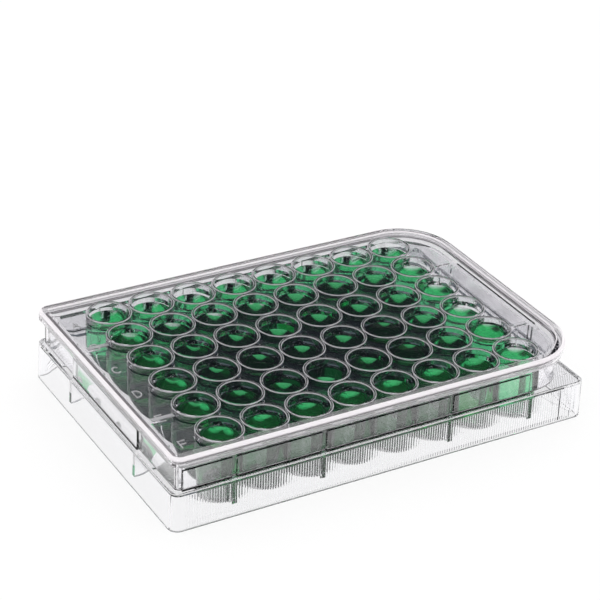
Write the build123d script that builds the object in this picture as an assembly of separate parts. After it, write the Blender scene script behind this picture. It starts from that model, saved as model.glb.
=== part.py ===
from build123d import *
import os

# A lidded 48-well culture plate: one clear moulded plate, one clear moulded lid, and a measure of green
# culture medium standing in each well. Millimetres, +Z up. The origin is on the bench, under the middle
# of the plate. Columns 1 to 8 run along +X and rows A to F run from +Y to -Y.

# ---- The grid of wells ----
COLUMNS = 8
ROW_LETTERS = "ABCDEF"
PITCH = 13.08            # centre to centre, both ways
RIM_GAP = 0.18           # between the rims of two neighbours
WELL_WALL = 0.85         # at the rim
WELL_FLOOR = 1.2         # thickness of a well's bottom

# ---- Heights of the plate, from the bench ----
RIM_Z = 20.3             # tops of the well rims
RIM_STAND = 1.9          # rims above the deck
DECK_THICKNESS = 1.3
LEDGE_Z = 11.3           # the ledge that the lid rests on
LEDGE_THICKNESS = 1.2
WELL_FOOT_Z = 2.6        # undersides of the wells

# ---- Walls of the plate ----
SKIRT_WALL = 1.2
SKIRT_LEAN = 0.28        # how far the skirt leans in from bench to ledge
BASE_CORNER = 2.8        # corner radius at the bench
NECK_WALL = 1.0          # the upright wall between ledge and deck
NECK_SIDE_SPARE = 0.21   # from the rims of rows A and F out to the neck's face
NECK_END_SPARE = 8.27    # from the rims of columns 1 and 8 out to the neck's face

# ---- Gussets between skirt, neck and wells ----
GUSSET = 1.3             # thickness
GUSSET_FOOT_Z = 3.6      # their lower edges
GUSSET_COLUMNS = (0, 2, 5, 7)
GUSSET_ROWS = (1, 4)
END_GUSSET_REACH = 4.8   # how far an end gusset runs in past the neck's face
TIE_OVERLAP = 2.8        # how far a tie bar runs back over its gusset
TIE_DEPTH = 1.0          # under the deck
TIE_STAND = 0.3          # above the deck

# ---- The moulding mark on the ledge ----
MARK = 1.5               # side of the small square
MARK_STAND = 0.25
MARK_FROM_EDGE = (3.6, 5.9)  # its middle, in from the ledge's two edges

# ---- The lid ----
LEDGE_SHOWING = 1.65     # ledge left showing outside the lid
LID_WALL = 1.0
LID_FIT = 0.45           # air between the lid's wall and the plate's neck
LID_OVER_RIMS = 0.3      # air between the rims and the lid's top panel
TOP_PANEL = 0.9          # thickness
BAND_OVERHANG = 1.6      # how far the top band stands out past the wall
BAND_HEIGHT = 2.9        # from its lower edge to the lid's highest point
BAND_SHELF = 0.8         # thickness of the step under the band
BAND_CORNERS = (3.0, 16.6)  # radii at the column 1 end and at the column 8 end
SMALLEST_CORNER = 0.6
RIDGE_WIDTH = 2.5        # stacking ridge round the top
RIDGE_STAND = 0.35
RIDGE_ROUND = 0.8
PAD_STAND = 0.65         # shallow pads on the outside of the lid's wall
PAD_DROP = 1.55          # from the band's lower edge to the pads' tops
PAD_GAP = 1.4            # between two pads, in line with a gusset

# ---- The medium ----
FILL_DROP = 3.8          # from the rims down to the medium
FILLED_MORE_BY = {       # wells filled higher than that, and below zero those filled lower
    "A1": 0.5, "A3": -0.5, "B6": 1.0, "C4": -1.5, "C8": 0.3, "D3": 0.7,
    "D6": 1.7, "D8": -0.6, "E3": -1.1, "E4": -2.8, "E6": 1.5, "E8": 1.4,
}
FILL_CLEARANCE = 0.02    # between the medium and the well's wall and floor

# ---- Worked out ----
rim_r = (PITCH - RIM_GAP) / 2
bore_r = rim_r - WELL_WALL
grid_x = (COLUMNS - 1) * PITCH / 2
grid_y = (len(ROW_LETTERS) - 1) * PITCH / 2
deck_z = RIM_Z - RIM_STAND

neck = (grid_x + rim_r + NECK_END_SPARE, grid_y + rim_r + NECK_SIDE_SPARE)
ledge_inset = LID_FIT + LID_WALL + LEDGE_SHOWING
ledge = tuple(half + ledge_inset for half in neck)
base = tuple(half + SKIRT_LEAN for half in ledge)

band = tuple(half - LEDGE_SHOWING + BAND_OVERHANG for half in ledge)
lid_top_z = RIM_Z + LID_OVER_RIMS + TOP_PANEL + RIDGE_STAND
band_z = lid_top_z - BAND_HEIGHT
pad_top_z = band_z - PAD_DROP


def column_x(column):
    return column * PITCH - grid_x


def row_y(row):
    return grid_y - row * PITCH


def wells():
    """Each well's label and centre, row by row."""
    for row, letter in enumerate(ROW_LETTERS):
        for column in range(COLUMNS):
            yield f"{letter}{column + 1}", column_x(column), row_y(row)


def outline(half_x, half_y, column_1_r, column_8_r):
    """A flat rectangle whose corners at the column 1 end and at the column 8 end have their own radii."""
    flat = Rectangle(2 * half_x, 2 * half_y)
    flat = fillet(flat.vertices().group_by(Axis.X)[0], column_1_r)
    return fillet(flat.vertices().group_by(Axis.X)[-1], column_8_r)


def lid_outline(inset):
    """The lid's outline, drawn in from the face of its top band."""
    radii = [max(r - inset, SMALLEST_CORNER) for r in BAND_CORNERS]
    return outline(band[0] - inset, band[1] - inset, *radii)


def prism(flat, low, high):
    return Pos(0, 0, low) * extrude(flat, high - low)


def block(x, y, z):
    """A box from its (low, high) limits along each axis, in either order."""
    low = [min(limits) for limits in (x, y, z)]
    high = [max(limits) for limits in (x, y, z)]
    size = [b - a for a, b in zip(low, high)]
    return Pos(*low) * Box(*size, align=(Align.MIN, Align.MIN, Align.MIN))


def plug(radius, low, high):
    """An upright cylinder between two heights."""
    return Pos(0, 0, low) * Cylinder(radius, high - low, align=(Align.CENTER, Align.CENTER, Align.MIN))


def leaning_shell(half_sizes, corner, height):
    """The solid inside one face of the skirt, which leans in on its way up."""
    lean = SKIRT_LEAN * height / LEDGE_Z
    foot = outline(*half_sizes, corner, corner)
    top = Pos(0, 0, height) * outline(*(half - lean for half in half_sizes), corner - lean, corner - lean)
    return loft([foot, top], ruled=True)


def side_gussets():
    """Upright webs under the ledge, from the long walls of the skirt to the wells of rows A and F."""
    for column in GUSSET_COLUMNS:
        x = column_x(column)
        for side in (-1, 1):
            yield block(
                (x - GUSSET / 2, x + GUSSET / 2),
                (side * grid_y, side * (ledge[1] - SKIRT_WALL / 2)),
                (GUSSET_FOOT_Z, LEDGE_Z - LEDGE_THICKNESS / 2),
            )


def end_gussets():
    """Webs behind the short walls, each with a tie bar at deck level that runs on to its well."""
    inner_x = neck[0] - END_GUSSET_REACH
    for row in GUSSET_ROWS:
        y = (row_y(row) - GUSSET / 2, row_y(row) + GUSSET / 2)
        for end in (-1, 1):
            under_ledge = (end * inner_x, end * (ledge[0] - SKIRT_WALL / 2))
            under_deck = (end * inner_x, end * (neck[0] - NECK_WALL / 2))
            tie = (end * grid_x, end * (inner_x + TIE_OVERLAP))
            yield block(under_ledge, y, (GUSSET_FOOT_Z, LEDGE_Z - LEDGE_THICKNESS / 2))
            yield block(under_deck, y, (GUSSET_FOOT_Z, deck_z - DECK_THICKNESS / 2))
            yield block(tie, y, (deck_z - DECK_THICKNESS - TIE_DEPTH, deck_z + TIE_STAND))


def ledge_mark():
    x = ledge[0] - MARK_FROM_EDGE[0]
    y = MARK_FROM_EDGE[1] - ledge[1]
    half = MARK / 2
    return block((x - half, x + half), (y - half, y + half), (LEDGE_Z - MARK_STAND, LEDGE_Z + MARK_STAND))


def make_plate():
    """The plate: a leaning skirt, a ledge, a neck and a deck, with the wells hung through the deck."""
    neck_radii = [max(r - BAND_OVERHANG - LID_WALL - LID_FIT, SMALLEST_CORNER) for r in BAND_CORNERS]
    hollow_radii = [max(r - NECK_WALL, SMALLEST_CORNER) for r in neck_radii]
    outside = leaning_shell(base, BASE_CORNER, LEDGE_Z) + prism(outline(*neck, *neck_radii), 0, deck_z)
    skirt_hollow = leaning_shell(
        [half - SKIRT_WALL for half in base], BASE_CORNER - SKIRT_WALL, LEDGE_Z - LEDGE_THICKNESS
    )
    neck_hollow = prism(
        outline(*(half - NECK_WALL for half in neck), *hollow_radii), 0, deck_z - DECK_THICKNESS
    )
    shell = outside - skirt_hollow - neck_hollow
    cup_outside = plug(rim_r, WELL_FOOT_Z, RIM_Z)
    cup_inside = plug(bore_r, WELL_FOOT_Z + WELL_FLOOR, RIM_Z)
    cups = [Pos(x, y) * cup_outside for _, x, y in wells()]
    bores = [Pos(x, y) * cup_inside for _, x, y in wells()]
    return shell + [*side_gussets(), *end_gussets(), ledge_mark(), *cups] - bores


def wall_pads():
    """Shallow pads on the lid's wall: rows of them along the sides, one at each end."""
    wall = [half - BAND_OVERHANG for half in band]
    face = [half - BAND_OVERHANG + PAD_STAND for half in band]
    z = (LEDGE_Z, pad_top_z)
    stops = [column_x(column) for column in GUSSET_COLUMNS]
    starts = [BAND_CORNERS[0] - band[0], *(x + PAD_GAP / 2 for x in stops[:-1])]
    for side in (-1, 1):
        y = (side * (wall[1] - LID_WALL / 2), side * face[1])
        for start, stop in zip(starts, stops):
            yield block((start, stop - PAD_GAP / 2), y, z)
    half_length = row_y(GUSSET_ROWS[0])
    for end in (-1, 1):
        yield block((end * (wall[0] - LID_WALL / 2), end * face[0]), (-half_length, half_length), z)


def make_lid():
    """The lid: a thin wall that stands on the ledge, a band that stands proud of it, and a recessed top."""
    panel_z = lid_top_z - RIDGE_STAND
    under_panel_z = panel_z - TOP_PANEL
    wall = prism(lid_outline(BAND_OVERHANG), LEDGE_Z, panel_z)
    top_band = prism(lid_outline(0), band_z, lid_top_z)
    crown = top_band.faces().sort_by(Axis.Z)[-1]
    top_band = fillet(crown.edges(), RIDGE_ROUND)
    recess = prism(lid_outline(RIDGE_WIDTH), panel_z, lid_top_z)
    wall_hollow = prism(lid_outline(BAND_OVERHANG + LID_WALL), LEDGE_Z, under_panel_z)
    band_hollow = prism(lid_outline(LID_WALL), band_z + BAND_SHELF, under_panel_z)
    return wall + top_band + list(wall_pads()) - recess - wall_hollow - band_hollow


def make_fill(drop):
    """The medium in one well, up to the given drop below the rims."""
    low = WELL_FOOT_Z + WELL_FLOOR + FILL_CLEARANCE
    return plug(bore_r - FILL_CLEARANCE, low, RIM_Z - drop)


os.makedirs("parts", exist_ok=True)
export_step(make_plate(), "parts/plate.step")
export_step(make_lid(), "parts/lid.step")
for label, x, y in wells():
    fill = make_fill(FILL_DROP - FILLED_MORE_BY.get(label, 0))
    export_step(Pos(x, y) * fill, f"parts/medium_{label}.step")
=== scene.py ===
import math

import bmesh
import bpy
from mathutils import Matrix, Vector


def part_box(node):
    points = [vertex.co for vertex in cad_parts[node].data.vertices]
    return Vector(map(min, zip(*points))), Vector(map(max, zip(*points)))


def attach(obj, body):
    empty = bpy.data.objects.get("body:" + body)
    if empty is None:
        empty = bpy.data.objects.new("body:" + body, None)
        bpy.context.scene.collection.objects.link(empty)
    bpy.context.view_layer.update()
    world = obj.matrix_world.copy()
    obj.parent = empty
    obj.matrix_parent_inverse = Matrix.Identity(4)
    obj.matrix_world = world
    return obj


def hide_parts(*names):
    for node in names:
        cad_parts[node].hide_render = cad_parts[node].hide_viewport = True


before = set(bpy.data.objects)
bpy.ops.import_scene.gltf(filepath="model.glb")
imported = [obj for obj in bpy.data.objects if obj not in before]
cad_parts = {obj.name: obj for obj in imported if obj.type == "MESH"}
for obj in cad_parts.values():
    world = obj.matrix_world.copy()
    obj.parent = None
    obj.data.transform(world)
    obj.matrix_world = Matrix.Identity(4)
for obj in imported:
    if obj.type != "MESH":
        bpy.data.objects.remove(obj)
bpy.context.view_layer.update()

MM = 0.001

# ==== The plate ====
# One clear polystyrene moulding: a leaning skirt, a ledge for the lid, a neck and a deck, with the wells
# hung through the deck and gussets from the skirt to the outer wells. The shell and the wells have small
# mould radii.
CORNER_STEPS = 20
ROUND_STEPS = 4
SMOOTH_BELOW = math.radians(14)
FIT_GAP = 0.02 * MM

plate_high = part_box("plate")[1]
rim_z = plate_high.z
ledge_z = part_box("lid")[0].z
first_low, first_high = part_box("medium_A1")
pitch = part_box("medium_A2")[0].x - first_low.x
bore_r = (first_high.x - first_low.x) / 2 + FIT_GAP
floor_z = first_low.z - FIT_GAP
grid_x = -(first_high.x + first_low.x) / 2
grid_y = (first_high.y + first_low.y) / 2
columns = round(2 * grid_x / pitch) + 1
rows = round(2 * grid_y / pitch) + 1

WELL_WALL = 0.85 * MM
WELL_FLOOR = 1.2 * MM
RIM_ROUND = 0.26 * MM
MOUTH_ROUND = 0.26 * MM
FOOT_ROUND = 0.4 * MM
RIM_STAND = 1.9 * MM
DECK_THICKNESS = 1.3 * MM
LEDGE_THICKNESS = 1.2 * MM
SKIRT_WALL = 1.2 * MM
SKIRT_LEAN = 0.28 * MM
SKIRT_CORNER = 2.8 * MM
NECK_INSET = 3.38 * MM
NECK_WALL = 1.0 * MM
NECK_CORNERS = (0.6 * MM, 13.55 * MM)
EDGE_ROUND = 0.2 * MM
well_r = bore_r + WELL_WALL
deck_z = rim_z - RIM_STAND
shelf_z = ledge_z - LEDGE_THICKNESS


def softened(points):
    """A section's outline in which each corner that has a radius has become a few short steps."""
    out = []
    for i, (x, z, r) in enumerate(points):
        here = Vector((x, z))
        if not r:
            out.append((x, z))
            continue
        to_last = (Vector(points[i - 1][:2]) - here).normalized()
        to_next = (Vector(points[(i + 1) % len(points)][:2]) - here).normalized()
        half_turn = to_last.angle(to_next) / 2
        middle = here + (to_last + to_next).normalized() * r / math.sin(half_turn)
        start = here + to_last * r / math.tan(half_turn) - middle
        stop = here + to_next * r / math.tan(half_turn) - middle
        for step in range(ROUND_STEPS + 1):
            share = step / ROUND_STEPS
            spoke = (start * (1 - share) + stop * share).normalized() * r
            out.append(tuple(middle + spoke))
    return out


def ring(half_x, half_y, radii, z):
    """Points round a rounded rectangle, whose column 1 and column 8 ends have their own corner radii."""
    points = []
    for sx, sy, turn in ((1, 1, 0), (-1, 1, 90), (-1, -1, 180), (1, -1, 270)):
        r = radii[0] if sx < 0 else radii[1]
        for step in range(CORNER_STEPS + 1):
            angle = math.radians(turn + 90 * step / CORNER_STEPS)
            x = sx * (half_x - r) + r * math.cos(angle)
            y = sy * (half_y - r) + r * math.sin(angle)
            points.append((x, y, z))
    return points


def closed_mesh(name, mesh_parts):
    """An object from one bmesh, with its faces turned outwards."""
    mesh_parts.normal_update()
    bmesh.ops.recalc_face_normals(mesh_parts, faces=mesh_parts.faces)
    mesh = bpy.data.meshes.new(name)
    mesh_parts.to_mesh(mesh)
    mesh_parts.free()
    piece = bpy.data.objects.new(name, mesh)
    bpy.context.scene.collection.objects.link(piece)
    return piece


def stacked(name, rings):
    """A closed solid skinned over a row of rings, with its first and last rings capped."""
    build = bmesh.new()
    loops = [[build.verts.new(point) for point in points] for points in rings]
    for low, high in zip(loops, loops[1:]):
        for i in range(len(low)):
            j = (i + 1) % len(low)
            build.faces.new((low[i], low[j], high[j], high[i]))
    build.faces.new(loops[0])
    build.faces.new(loops[-1])
    return closed_mesh(name, build)


def lathed(name, outline, steps=64):
    """A closed solid turned about the Z axis. Its outline of (radius, height) starts and ends on the axis."""
    build = bmesh.new()
    inner = outline[1:-1]
    loops = []
    for radius, z in inner:
        angles = [2 * math.pi * k / steps for k in range(steps)]
        loops.append([build.verts.new((radius * math.cos(a), radius * math.sin(a), z)) for a in angles])
    for low, high in zip(loops, loops[1:]):
        for i in range(steps):
            j = (i + 1) % steps
            build.faces.new((low[i], low[j], high[j], high[i]))
    for loop, (_, z) in ((loops[0], outline[0]), (loops[-1], outline[-1])):
        tip = build.verts.new((0, 0, z))
        for i in range(steps):
            build.faces.new((loop[i], loop[(i + 1) % steps], tip))
    return closed_mesh(name, build)


def blocks(name, limits):
    """One mesh of separate boxes, each from its (low, high) limits along x, y and z."""
    build = bmesh.new()
    for x, y, z in limits:
        size = Matrix.Diagonal((abs(x[1] - x[0]), abs(y[1] - y[0]), abs(z[1] - z[0]), 1))
        place = Matrix.Translation((sum(x) / 2, sum(y) / 2, sum(z) / 2))
        bmesh.ops.create_cube(build, size=1, matrix=place @ size)
    return closed_mesh(name, build)


def as_plain_mesh(piece):
    """Bakes a piece's modifiers into its mesh and takes them off."""
    depsgraph = bpy.context.evaluated_depsgraph_get()
    mesh = bpy.data.meshes.new_from_object(piece.evaluated_get(depsgraph))
    piece.modifiers.clear()
    piece.data = mesh
    return piece


def combined(piece, operation, tool):
    """Joins a tool solid to a piece or cuts it away, and throws the tool away."""
    change = piece.modifiers.new("change", "BOOLEAN")
    change.operation = operation
    change.solver = "MANIFOLD"
    change.object = tool
    as_plain_mesh(piece)
    bpy.data.objects.remove(tool)
    return piece


def repeater(name, node_type, settings):
    """A Geometry Nodes tree that puts copies of a piece's own mesh on the points of a line or a grid."""
    tree = bpy.data.node_groups.new(name, "GeometryNodeTree")
    sockets = {}
    last = ("Material", "NodeSocketMaterial")
    for label, kind in (("Geometry", "NodeSocketGeometry"), *settings, last):
        sockets[label] = tree.interface.new_socket(label, in_out="INPUT", socket_type=kind).identifier
    tree.interface.new_socket("Geometry", in_out="OUTPUT", socket_type="NodeSocketGeometry")
    given = tree.nodes.new("NodeGroupInput")
    shown = tree.nodes.new("NodeGroupOutput")
    points = tree.nodes.new(node_type)
    for label, _ in settings:
        tree.links.new(given.outputs[label], points.inputs[label])
    copies = tree.nodes.new("GeometryNodeInstanceOnPoints")
    tree.links.new(points.outputs[0], copies.inputs["Points"])
    tree.links.new(given.outputs["Geometry"], copies.inputs["Instance"])
    real = tree.nodes.new("GeometryNodeRealizeInstances")
    painted = tree.nodes.new("GeometryNodeSetMaterial")
    tree.links.new(given.outputs["Material"], painted.inputs["Material"])
    tree.links.new(copies.outputs[0], real.inputs[0])
    tree.links.new(real.outputs[0], painted.inputs["Geometry"])
    tree.links.new(painted.outputs[0], shown.inputs[0])
    return tree, sockets


def repeated(piece, kind, values):
    """Runs one of the repeaters on a piece and keeps the result as its mesh."""
    tree, sockets = kind
    change = piece.modifiers.new("copies", "NODES")
    change.node_group = tree
    for label, value in values.items():
        change[sockets[label]] = value
    return as_plain_mesh(piece)


class Wire:
    """One output in a shader tree. Arithmetic on wires adds Math nodes to their tree."""

    def __init__(self, tree, output=None):
        self.tree = tree
        self.output = output

    def node(self, kind, settings=None, inputs=None, out=0):
        """Adds a node: its settings, then its inputs' values or wires. Gives back one of its outputs."""
        new = self.tree.nodes.new(kind)
        for key, value in (settings or {}).items():
            if key == "stops":
                for _ in value[2:]:
                    new.color_ramp.elements.new(1)
                for element, (position, colour) in zip(new.color_ramp.elements, value):
                    element.position = position
                    element.color = (*colour, 1)
            else:
                setattr(new, key, value)
        for key, value in (inputs or {}).items():
            if isinstance(value, Wire):
                self.tree.links.new(value.output, new.inputs[key])
            else:
                new.inputs[key].default_value = value
        return Wire(self.tree, new.outputs[out] if new.outputs else None)

    def math(self, operation, *values):
        return self.node("ShaderNodeMath", {"operation": operation}, dict(enumerate(values)))

    def __add__(self, other):
        return self.math("ADD", self, other)

    def __sub__(self, other):
        return self.math("SUBTRACT", self, other)

    def __rsub__(self, other):
        return self.math("SUBTRACT", other, self)

    def __mul__(self, other):
        return self.math("MULTIPLY", self, other)

    def __lt__(self, other):
        return self.math("LESS_THAN", self, other)

    def __gt__(self, other):
        return self.math("GREATER_THAN", self, other)

    __radd__ = __add__
    __rmul__ = __mul__


def mixed(factor, first, second):
    """A blend of two colours, each either a wire or a plain colour, by a wire that runs from 0 to 1."""
    first, second = (colour if isinstance(colour, Wire) else (*colour, 1) for colour in (first, second))
    return factor.node("ShaderNodeMix", {"data_type": "RGBA"}, {"Factor": factor, 6: first, 7: second}, 2)


def new_tree(owner):
    """Empties the shader tree of a material or a world, and gives the wire that its nodes start from."""
    owner.use_nodes = True
    owner.node_tree.nodes.clear()
    return Wire(owner.node_tree)


# Polystyrene has a high polish, and its tint, polish and flatness wander a little, as on any cooled moulding.
PLASTIC_IOR = 1.59
POLISH = 0.03
FLOW_SCALE = 35
SKIN_SCALE = 900
FLOW_WAVES = {"Strength": 0.15, "Distance": 0.02 * MM}
SKIN_BUMPS = {"Strength": 0.1, "Distance": 0.002 * MM}
FROST_ROUGHNESS = 0.35
DEPTH_TINT = (0.55, 0.5, 0.62, 1)
DEPTH_DENSITY = 1.5


def clear_plastic(name, tints, frost_colour):
    """Clear moulded polystyrene, white and frosted at small radii, where the mesh says that it is cloudy."""
    made = bpy.data.materials.new(name)
    start = new_tree(made)
    place = start.node("ShaderNodeTexCoord", out="Object")
    flow = start.node("ShaderNodeTexNoise", inputs={"Vector": place, "Scale": FLOW_SCALE, "Detail": 2})
    fine = start.node("ShaderNodeTexNoise", inputs={"Vector": place, "Scale": SKIN_SCALE, "Detail": 3})
    waves = start.node("ShaderNodeBump", inputs={"Height": flow, **FLOW_WAVES})
    skin = start.node("ShaderNodeBump", inputs={"Height": fine, "Normal": waves, **SKIN_BUMPS})
    clear = start.node("ShaderNodeBsdfPrincipled", inputs={
        "Base Color": mixed(flow, *tints),
        "Roughness": POLISH * fine,
        "IOR": PLASTIC_IOR,
        "Transmission Weight": 1.0,
        "Normal": skin,
    })
    frost = start.node("ShaderNodeBsdfPrincipled", inputs={
        "Base Color": (*frost_colour, 1),
        "Roughness": FROST_ROUGHNESS,
    })
    cloudiness = start.node("ShaderNodeAttribute", {"attribute_name": "cloudiness"}, out="Fac")
    surface = start.node("ShaderNodeMixShader", inputs={0: cloudiness, 1: clear, 2: frost})
    body = start.node("ShaderNodeVolumeAbsorption", inputs={"Color": DEPTH_TINT, "Density": DEPTH_DENSITY})
    start.node("ShaderNodeOutputMaterial", inputs={"Surface": surface, "Volume": body})
    return made


PLATE_TINTS = ((0.99, 0.988, 1.0), (0.98, 0.978, 0.992))
PLATE_FROST = (0.985, 0.98, 0.99)
plate_plastic = clear_plastic("plate_plastic", PLATE_TINTS, PLATE_FROST)

well_grid = repeater("well_grid", "GeometryNodeMeshGrid", (
    ("Size X", "NodeSocketFloat"), ("Size Y", "NodeSocketFloat"),
    ("Vertices X", "NodeSocketInt"), ("Vertices Y", "NodeSocketInt"),
))
groove_line = repeater("groove_line", "GeometryNodeMeshLine", (
    ("Count", "NodeSocketInt"), ("Start Location", "NodeSocketVector"), ("Offset", "NodeSocketVector"),
))
grid_values = {
    "Size X": 2 * grid_x,
    "Size Y": 2 * grid_y,
    "Vertices X": columns,
    "Vertices Y": rows,
    "Material": plate_plastic,
}


def plate_shell():
    """The moulding without its wells, skinned from the deck's top round the skirt to the deck's underside."""
    rings = []

    def go_round(inset, z, radii):
        rings.append(ring(plate_high.x - inset, plate_high.y - inset, radii, z))

    neck_inner = NECK_INSET + NECK_WALL
    neck_inner_corners = (NECK_CORNERS[0], NECK_CORNERS[1] - NECK_WALL)
    neck_top = softened([
        (NECK_INSET + 2 * EDGE_ROUND, deck_z, 0), (NECK_INSET, deck_z, EDGE_ROUND), (NECK_INSET, ledge_z, 0),
    ])
    for inset, z in neck_top:
        go_round(inset, z, NECK_CORNERS)
    skirt = softened([
        (SKIRT_LEAN + 3 * EDGE_ROUND, ledge_z, 0),
        (SKIRT_LEAN, ledge_z, EDGE_ROUND),
        (0, 0, EDGE_ROUND),
        (SKIRT_WALL, 0, EDGE_ROUND),
        (SKIRT_WALL + SKIRT_LEAN, shelf_z, 0),
    ])
    for inset, z in skirt:
        corner = SKIRT_CORNER - inset
        go_round(inset, z, (corner, corner))
    go_round(neck_inner, shelf_z, neck_inner_corners)
    go_round(neck_inner, deck_z - DECK_THICKNESS, neck_inner_corners)
    return stacked("plate", rings)


plate = plate_shell()

# The wells: plain round plugs are joined on, then the bores are cut, with softened rims and corners.
plug = lathed("plug", softened([
    (0, floor_z - WELL_FLOOR, 0),
    (well_r, floor_z - WELL_FLOOR, FOOT_ROUND),
    (well_r, rim_z, RIM_ROUND),
    (0, rim_z, 0),
]))
combined(plate, "UNION", repeated(plug, well_grid, grid_values))

# Gussets tie the skirt and the neck to the outer wells, in line with columns 1, 3, 6 and 8 and rows B and E.
GUSSET = 1.3 * MM
GUSSET_FOOT_Z = 3.6 * MM
END_GUSSET_REACH = 4.8 * MM
TIE_OVERLAP = 2.8 * MM
TIE_DEPTH = 1.0 * MM
TIE_STAND = 0.3 * MM
gusset_columns = [(column * pitch - grid_x) for column in (0, 2, 5, 7)]
gusset_rows = [grid_y - row * pitch for row in (1, 4)]
neck_x = plate_high.x - NECK_INSET
wall_middle = SKIRT_LEAN + SKIRT_WALL / 2
for side in (-1, 1):
    webs = []
    for x in gusset_columns:
        y = (side * grid_y, side * (plate_high.y - wall_middle))
        webs.append(((x - GUSSET / 2, x + GUSSET / 2), y, (GUSSET_FOOT_Z, ledge_z - LEDGE_THICKNESS / 2)))
    combined(plate, "UNION", blocks("side_gussets", webs))
for end in (-1, 1):
    inner_x = neck_x - END_GUSSET_REACH
    lower, upper, ties = [], [], []
    for row_y in gusset_rows:
        y = (row_y - GUSSET / 2, row_y + GUSSET / 2)
        lower.append(((end * inner_x, end * (plate_high.x - wall_middle)), y,
                      (GUSSET_FOOT_Z, ledge_z - LEDGE_THICKNESS / 2)))
        upper.append(((end * inner_x, end * (neck_x - NECK_WALL / 2)), y,
                      (shelf_z, deck_z - DECK_THICKNESS / 2)))
        ties.append(((end * grid_x, end * (inner_x + TIE_OVERLAP)), y,
                     (deck_z - DECK_THICKNESS - TIE_DEPTH, deck_z + TIE_STAND)))
    for webs in (lower, upper, ties):
        combined(plate, "UNION", blocks("end_gussets", webs))

bore = lathed("bore", softened([
    (0, floor_z, 0),
    (bore_r, floor_z, FOOT_ROUND),
    (bore_r, rim_z - MOUTH_ROUND, MOUTH_ROUND / 2),
    (bore_r + MOUTH_ROUND, rim_z + 0.1 * MOUTH_ROUND, 0),
    (bore_r + MOUTH_ROUND, rim_z + RIM_STAND, 0),
    (0, rim_z + RIM_STAND, 0),
]))
combined(plate, "DIFFERENCE", repeated(bore, well_grid, grid_values))

# A small square mark stands on the ledge beside the lid's rounded corner.
MARK = 1.5 * MM
MARK_STAND = 0.25 * MM
MARK_FROM_END = 3.6 * MM
MARK_FROM_SIDE = 5.9 * MM
mark_x = plate_high.x - SKIRT_LEAN - MARK_FROM_END
mark_y = MARK_FROM_SIDE + SKIRT_LEAN - plate_high.y
combined(plate, "UNION", blocks("ledge_mark", [(
    (mark_x - MARK / 2, mark_x + MARK / 2),
    (mark_y - MARK / 2, mark_y + MARK / 2),
    (ledge_z - MARK_STAND, ledge_z + MARK_STAND),
)]))

# Fine grip grooves run up the long sides and the column 8 end of the skirt.
GROOVE_PITCH = 0.76 * MM
GROOVE_R = 0.3 * MM
GROOVE_DEPTH = 0.15 * MM
GROOVE_LOW = 0.9 * MM
GROOVE_HIGH = 10.4 * MM
GROOVE_SIDES = 12
lean = math.atan2(SKIRT_LEAN, ledge_z)


def grooves(turn, out, start, stop):
    """A row of upright round cutters along one face of the skirt. turn is the way that the face looks."""
    cutter = lathed("cutter", [
        (0, GROOVE_LOW), (GROOVE_R, GROOVE_LOW), (GROOVE_R, GROOVE_HIGH), (0, GROOVE_HIGH),
    ], GROOVE_SIDES)
    tilt = Matrix.Rotation(-lean, 4, "Y")
    cutter.data.transform(Matrix.Translation((out + GROOVE_R - GROOVE_DEPTH, 0, 0)) @ tilt)
    count = int((stop - start) / GROOVE_PITCH) + 1
    repeated(cutter, groove_line, {
        "Count": count,
        "Start Location": (0, start, 0),
        "Offset": (0, GROOVE_PITCH, 0),
        "Material": plate_plastic,
    })
    cutter.data.transform(Matrix.Rotation(turn, 4, "Z"))
    return cutter


GROOVES_FROM_CORNER = 4.0 * MM
for turn, out, half_length in (
    (0, plate_high.x, plate_high.y),
    (math.pi / 2, plate_high.y, plate_high.x),
    (-math.pi / 2, plate_high.y, plate_high.x),
):
    reach = half_length - GROOVES_FROM_CORNER
    combined(plate, "DIFFERENCE", grooves(turn, out, -reach, reach))

# Row letters A to F stand up a little from the deck beside column 1, drawn with a thin even stroke.
LETTER_HEIGHT = 3.0 * MM
LETTER_WIDTH = 0.62
LETTER_STROKE = 0.34 * MM
LETTER_STAND = 0.22 * MM
LETTERS_X = -56.0 * MM


def bow(x, y, reach_x, reach_y, first, last):
    """Points along an arc, in letter heights, between two angles in degrees."""
    steps = 10
    angles = [math.radians(first + (last - first) * k / steps) for k in range(steps + 1)]
    return [(x + reach_x * math.cos(a), y + reach_y * math.sin(a)) for a in angles]


w = LETTER_WIDTH
letter_strokes = {
    "A": [[(0, 0), (w / 2, 1), (w, 0)], [(0.12, 0.36), (w - 0.12, 0.36)]],
    "B": [[(0, 0), (0, 1)], [(0, 1), *bow(w - 0.27, 0.76, 0.24, 0.24, 90, -90), (0, 0.52)],
          [*bow(w - 0.26, 0.26, 0.26, 0.26, 90, -90), (0, 0)]],
    "C": [bow(w / 2 + 0.04, 0.5, w / 2 + 0.04, 0.5, 50, 310)],
    "D": [[(0, 0), (0, 1), *bow(w - 0.42, 0.5, 0.42, 0.5, 90, -90), (0, 0)]],
    "E": [[(w, 1), (0, 1), (0, 0), (w, 0)], [(0, 0.52), (w - 0.1, 0.52)]],
    "F": [[(w, 1), (0, 1), (0, 0)], [(0, 0.52), (w - 0.1, 0.52)]],
}


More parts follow.
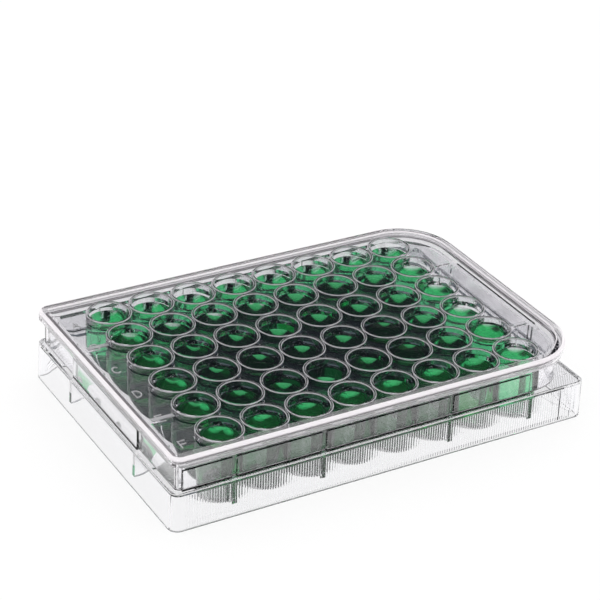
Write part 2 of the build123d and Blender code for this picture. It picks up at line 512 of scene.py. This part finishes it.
def raised_letter(letter, x, y):
    """A letter's strokes as thin bars, joined into one solid that sinks a little into the deck."""
    whole = None
    for stroke in letter_strokes[letter]:
        for a, b in zip(stroke, stroke[1:]):
            start = Vector((x + (a[0] - w / 2) * LETTER_HEIGHT, y + (a[1] - 0.5) * LETTER_HEIGHT))
            stop = Vector((x + (b[0] - w / 2) * LETTER_HEIGHT, y + (b[1] - 0.5) * LETTER_HEIGHT))
            along = stop - start
            bar = blocks("bar", [(
                (-LETTER_STROKE / 2, along.length + LETTER_STROKE / 2),
                (-LETTER_STROKE / 2, LETTER_STROKE / 2),
                (deck_z - LETTER_STAND, deck_z + LETTER_STAND),
            )])
            turn = Matrix.Rotation(math.atan2(along.y, along.x), 4, "Z")
            bar.data.transform(Matrix.Translation((start.x, start.y, 0)) @ turn)
            whole = combined(whole, "UNION", bar) if whole else bar
    return whole


for row in range(rows):
    letter = "ABCDEF"[row]
    combined(plate, "UNION", raised_letter(letter, LETTERS_X, grid_y - row * pitch))


def finished(piece, material, node):
    """Gives a piece its material and smooth walls, and ties it to the frame in its CAD node's place."""
    piece.data.materials.clear()
    piece.data.materials.append(material)
    piece.data.shade_smooth()
    piece.data.set_sharp_from_angle(angle=SMOOTH_BELOW)
    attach(piece, "root")
    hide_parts(node)


def clouded(piece, cloudiness):
    """Stores how cloudy each face of a piece is, from 0 for clear to 1, for its plastic to read."""
    stored = piece.data.attributes.new("cloudiness", "FLOAT", "FACE")
    for face, value in zip(piece.data.polygons, stored.data):
        value.value = cloudiness(face)


NEARLY_UPRIGHT = 0.06
NEARLY_LEVEL = 0.99
RIM_CLOUD = 1.0
RIM_TOP_CLOUD = 0.05
LETTER_CLOUD = 0.9
EDGE_CLOUD = 0.5


def is_edge(face):
    """Whether a face is part of a small radius, because all the broad walls are level or nearly upright."""
    return NEARLY_UPRIGHT < abs(face.normal.z) < NEARLY_LEVEL


def plate_cloudiness(face):
    if face.center.z > rim_z - RIM_ROUND:
        return RIM_CLOUD if is_edge(face) else RIM_TOP_CLOUD
    if face.center.x < -(grid_x + well_r) and face.center.z > deck_z + FIT_GAP:
        return LETTER_CLOUD
    return EDGE_CLOUD if is_edge(face) else 0.0


clouded(plate, plate_cloudiness)
finished(plate, plate_plastic, "plate")

# ==== The lid ====
# One clear moulding that stands on the plate's ledge: a thin upright wall with shallow pads, a band that
# steps out over it, a raised stacking ridge and a flat recessed top. The two corners at the column 8 end are
# wide.
LID_WALL = 1.0 * MM
TOP_PANEL = 0.9 * MM
BAND_OVERHANG = 1.6 * MM
BAND_HEIGHT = 2.9 * MM
BAND_SHELF = 0.8 * MM
BAND_CORNERS = (3.0 * MM, 16.6 * MM)
SMALLEST_CORNER = 0.6 * MM
RIDGE_WIDTH = 2.5 * MM
RIDGE_STAND = 0.35 * MM
RIDGE_ROUND = 0.8 * MM
PANEL_MARGIN = 1.5 * MM
LID_EDGE_ROUND = 0.15 * MM
PAD_STAND = 0.65 * MM
PAD_DROP = 1.55 * MM
PAD_GAP = 1.4 * MM

lid_low, lid_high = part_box("lid")
panel_z = lid_high.z - RIDGE_STAND
ceiling_z = panel_z - TOP_PANEL
band_z = lid_high.z - BAND_HEIGHT
wall_inner = BAND_OVERHANG + LID_WALL
lid_rings = []
for inset, z in softened([
    (RIDGE_WIDTH + PANEL_MARGIN, panel_z, 0),
    (RIDGE_WIDTH, panel_z, LID_EDGE_ROUND),
    (RIDGE_WIDTH, lid_high.z, LID_EDGE_ROUND),
    (0, lid_high.z, RIDGE_ROUND),
    (0, band_z, LID_EDGE_ROUND),
    (BAND_OVERHANG, band_z, LID_EDGE_ROUND),
    (BAND_OVERHANG, lid_low.z, LID_EDGE_ROUND),
    (wall_inner, lid_low.z, LID_EDGE_ROUND),
    (wall_inner, band_z + BAND_SHELF, LID_EDGE_ROUND),
    (LID_WALL, band_z + BAND_SHELF, LID_EDGE_ROUND),
    (LID_WALL, ceiling_z, LID_EDGE_ROUND),
    (wall_inner, ceiling_z, 0),
]):
    radii = [max(r - inset, SMALLEST_CORNER) for r in BAND_CORNERS]
    lid_rings.append(ring(lid_high.x - inset, lid_high.y - inset, radii, z))
lid = stacked("lid", lid_rings)

stops = [(column * pitch - grid_x) for column in (0, 2, 5, 7)]
starts = [BAND_CORNERS[0] - lid_high.x, *(x + PAD_GAP / 2 for x in stops[:-1])]
pad_z = (lid_low.z, band_z - PAD_DROP)
for side in (-1, 1):
    pads = []
    y = (side * (lid_high.y - BAND_OVERHANG - LID_WALL / 2), side * (lid_high.y - BAND_OVERHANG + PAD_STAND))
    for start, stop in zip(starts, stops):
        pads.append(((start, stop - PAD_GAP / 2), y, pad_z))
    combined(lid, "UNION", blocks("side_pads", pads))
for end in (-1, 1):
    x = (end * (lid_high.x - BAND_OVERHANG - LID_WALL / 2), end * (lid_high.x - BAND_OVERHANG + PAD_STAND))
    combined(lid, "UNION", blocks("end_pad", [(x, (gusset_rows[1], gusset_rows[0]), pad_z)]))

LID_TINTS = ((0.992, 0.986, 1.0), (0.984, 0.972, 0.99))
LID_FROST = (0.92, 0.88, 0.91)
LID_EDGE_CLOUD = 0.8
BAND_CLOUD = 0.12
lid_plastic = clear_plastic("lid_plastic", LID_TINTS, LID_FROST)


def lid_cloudiness(face):
    if is_edge(face):
        return LID_EDGE_CLOUD
    on_panel = abs(face.center.x) < lid_high.x - RIDGE_WIDTH and abs(face.center.y) < lid_high.y - RIDGE_WIDTH
    return BAND_CLOUD if face.center.z > band_z - LID_EDGE_ROUND and not on_panel else 0.0


clouded(lid, lid_cloudiness)
finished(lid, lid_plastic, "lid")

# ==== The medium ====
# A measure of clear green liquid in each of the 48 wells. It fills its well from wall to wall, and its
# surface climbs the wall a little. It reaches just into the plastic, so no film of air shows between the two.
INTO_WALL = 0.12 * MM
INTO_FLOOR = 0.1 * MM
FOOT_CUT = 0.3
CREEP = 0.7 * MM
CREEP_LENGTH = 2.7 * MM
SURFACE_RINGS = 10


def measure_of_medium(node):
    """A round slug of liquid with a dished top, in the place of a CAD node."""
    low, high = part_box(node)
    outline = [(0, high.z)]
    for k in range(1, SURFACE_RINGS + 1):
        radius = bore_r * math.sqrt(k / SURFACE_RINGS)
        climb = (math.cosh(radius / CREEP_LENGTH) - 1) / (math.cosh(bore_r / CREEP_LENGTH) - 1)
        outline.append((radius, high.z + CREEP * climb))
    foot_r = bore_r + INTO_WALL
    outline += [
        (foot_r, outline[-1][1]),
        (foot_r, floor_z + FOOT_ROUND),
        (foot_r - FOOT_CUT * FOOT_ROUND, floor_z + FOOT_CUT * FOOT_ROUND - INTO_FLOOR),
        (foot_r - FOOT_ROUND, floor_z - INTO_FLOOR),
        (0, floor_z - INTO_FLOOR),
    ]
    slug = lathed(node.replace("medium", "fill"), outline)
    slug.data.transform(Matrix.Translation(((low.x + high.x) / 2, (low.y + high.y) / 2, 0)))
    return slug


LIQUID_IOR = 1.333
LIQUID_POLISH = 0.01
SURFACE_TINTS = ((1, 1, 1), (0.94, 1, 0.97))
DRIFT_SCALE = 60
LIQUID_GREEN = (0.07, 0.855, 0.48, 1)
LIQUID_DENSITY = 200.0


def green_liquid():
    """A clear dyed liquid, whose green deepens with the way that light goes through it."""
    made = bpy.data.materials.new("green_medium")
    start = new_tree(made)
    place = start.node("ShaderNodeTexCoord", out="Object")
    drift = start.node("ShaderNodeTexNoise", inputs={"Vector": place, "Scale": DRIFT_SCALE, "Detail": 1})
    surface = start.node("ShaderNodeBsdfPrincipled", inputs={
        "Base Color": mixed(drift, *SURFACE_TINTS),
        "Roughness": LIQUID_POLISH * drift,
        "IOR": LIQUID_IOR,
        "Transmission Weight": 1.0,
    })
    body = start.node("ShaderNodeVolumeAbsorption", inputs={"Color": LIQUID_GREEN, "Density": LIQUID_DENSITY})
    start.node("ShaderNodeOutputMaterial", inputs={"Surface": surface, "Volume": body})
    return made


green_medium = green_liquid()
for row in range(rows):
    for column in range(columns):
        node = "medium_" + "ABCDEF"[row] + str(column + 1)
        finished(measure_of_medium(node), green_medium, node)

# ==== The bench ====
# A plain white bench top, large enough to run out of view on every side. Seen through the wells it carries
# a painted green shade, in place of the light that would come down to it through the medium.
BENCH_R = 3.0
BENCH_THICKNESS = 0.01
BENCH_DROP = 0.02 * MM
BENCH_COLOUR = (0.92, 0.92, 0.92, 1)
WHITE = (1.0, 1.0, 1.0)
SHADE_EDGE = 1.0 * MM
SHADOW_SHARE = 0.15
# That green is painted shade, not worked out from the light. It is picked by the place on the bench, by how
# many clear faces a view has crossed, and by whether the view is mirrored. The near side is column 1 and row
# F.
PAINTED_SHADE_THROUGH_WELLS = (0.015, 0.09, 0.05)
PAINTED_SHADE_THROUGH_OUTER_WELLS = (0.04, 0.3, 0.11)
PAINTED_SHADE_BETWEEN_WELLS = (0.1, 0.55, 0.22)
PAINTED_SHADE_BY_REFLECTION = (0.003, 0.008, 0.007)
PAINTED_SHADE_NEAR_SIDE = (0.02, 0.09, 0.04)
# The far side, column 8 and row A, is painted lighter, as if light came in there from behind.
PAINTED_LIGHT_FAR_SIDE = (0.9, 0.9, 0.9)
# Faces of clear plastic that a view crosses: the lid and the deck have two each, and a well's wall two more.
LID_AND_DECK = 4.5
ONE_WALL_MORE = 6.5

bench = lathed("bench", [(0, 0), (BENCH_R, 0), (BENCH_R, -BENCH_THICKNESS), (0, -BENCH_THICKNESS)], 96)
bench.location.z = -BENCH_DROP
bench_white = bpy.data.materials.new("bench_white")
start = new_tree(bench_white)
place = start.node("ShaderNodeTexCoord", out="Object")
x = start.node("ShaderNodeSeparateXYZ", inputs={"Vector": place}, out="X")
y = start.node("ShaderNodeSeparateXYZ", inputs={"Vector": place}, out="Y")
from_middle_x = start.math("ABSOLUTE", x)
from_middle_y = start.math("ABSOLUTE", y)
half_x = grid_x + pitch / 2
half_y = grid_y + pitch / 2
inner_x = half_x - pitch
inner_y = half_y - pitch


def beyond(over_x, over_y):
    """From 0 to 1 across a limit, given how far a place is past it along x and along y."""
    over = start.math("MAXIMUM", over_x, over_y)
    limits = {"From Min": -SHADE_EDGE, "From Max": SHADE_EDGE}
    return start.node("ShaderNodeMapRange", inputs={"Value": over, **limits})


def seen_directly(start):
    """1 for a view that no matt surface has scattered, whether straight, mirrored or bent, otherwise 0."""
    rays = ("Is Camera Ray", "Is Glossy Ray", "Is Transmission Ray")
    views = sum((start.node("ShaderNodeLightPath", out=ray) for ray in rays), 0)
    scattered = start.node("ShaderNodeLightPath", out="Diffuse Depth")
    return (views > 0.5) * (scattered < 0.5)


# The painted shade under the wells is picked from the path that a view has taken to the bench.
mirrored = start.node("ShaderNodeLightPath", out="Glossy Depth") > 0.5
crossings = start.node("ShaderNodeLightPath", out="Transmission Depth")
outside = beyond(from_middle_x - half_x, from_middle_y - half_y)
clear_of_wells = start.math("MAXIMUM", outside, crossings < LID_AND_DECK)
far_side = beyond(x - inner_x, y - inner_y)
near_side = beyond(-1 * x - inner_x, -1 * y - inner_y)
painted_mirrored_shade = mixed(far_side, mixed(near_side, PAINTED_SHADE_BY_REFLECTION, PAINTED_SHADE_NEAR_SIDE), PAINTED_LIGHT_FAR_SIDE)
outer_wells = beyond(from_middle_x - inner_x, from_middle_y - inner_y)
through = mixed(outer_wells, PAINTED_SHADE_THROUGH_WELLS, PAINTED_SHADE_THROUGH_OUTER_WELLS)
straight = mixed(crossings > ONE_WALL_MORE, PAINTED_SHADE_BETWEEN_WELLS, through)
shade = mixed(clear_of_wells, mixed(mirrored, straight, painted_mirrored_shade), WHITE)
matt = start.node("ShaderNodeBsdfDiffuse", inputs={"Color": BENCH_COLOUR})
shown = start.node("ShaderNodeEmission", inputs={"Color": shade, "Strength": 1.0})
share = seen_directly(start) * (1 - SHADOW_SHARE * clear_of_wells)
surface = start.node("ShaderNodeMixShader", inputs={0: share, 1: matt, 2: shown})
start.node("ShaderNodeOutputMaterial", inputs={"Surface": surface})
bench.data.materials.append(bench_white)

# ==== The room ====
# A plain white room lights the plate evenly from all sides, a quarter above the plain level, to make up for
# light lost in the lid. What is seen of the room is painted apart: a dim band half way up keeps glare off the
# lid for someone who looks down at it, and a view that has crossed many walls finds it in painted shade.
LIGHT_LEVEL = 1.25
DIM = (0.03, 0.035, 0.045)
PAINTED_SHADE_DEEP_INSIDE = (0.1, 0.12, 0.14)
CEILING = (0.4, 0.4, 0.4)
BAND = ((0.0, WHITE), (0.14, WHITE), (0.24, DIM), (0.6, DIM), (0.7, CEILING), (1.0, CEILING))

room = bpy.data.worlds.new("room")
bpy.context.scene.world = room
start = new_tree(room)
room.cycles.sampling_method = "NONE"
facing = start.node("ShaderNodeTexCoord", out="Generated")
height = start.node("ShaderNodeSeparateXYZ", inputs={"Vector": facing}, out="Z")
band = start.node("ShaderNodeValToRGB", {"stops": BAND}, {"Fac": height})
from_inside = start.node("ShaderNodeLightPath", out="Transmission Depth") > LID_AND_DECK
view = mixed(from_inside, band, PAINTED_SHADE_DEEP_INSIDE)
light = start.node("ShaderNodeBackground", inputs={"Color": (*WHITE, 1), "Strength": LIGHT_LEVEL})
shown = start.node("ShaderNodeBackground", inputs={"Color": view, "Strength": 1.0})
both = start.node("ShaderNodeMixShader", inputs={0: seen_directly(start), 1: light, 2: shown})
start.node("ShaderNodeOutputWorld", inputs={"Surface": both})

scene = bpy.context.scene
scene.view_settings.view_transform = "Standard"
# A view through the wells crosses many faces, so light may bounce often.
scene.cycles.max_bounces = 24
scene.cycles.diffuse_bounces = 4
scene.cycles.transmission_bounces = 24
scene.cycles.glossy_bounces = 24

# ==== The camera ====
# A long lens, a little above the bench and to the left, turned slightly about its own axis.
eye = bpy.data.cameras.new("camera")
eye.lens = 121.4
eye.sensor_width = 36
eye.clip_start = 0.01
eye.clip_end = 20
camera = bpy.data.objects.new("camera", eye)
scene.collection.objects.link(camera)
swing, height_angle, roll = math.radians(-31.39), math.radians(29.22), math.radians(3.05)
camera.matrix_world = (
    Matrix.Translation((-0.25375, -0.4092, 0.29951))
    @ Matrix.Rotation(swing, 4, "Z")
    @ Matrix.Rotation(math.pi / 2 - height_angle, 4, "X")
    @ Matrix.Rotation(roll, 4, "Z")
)
scene.camera = camera
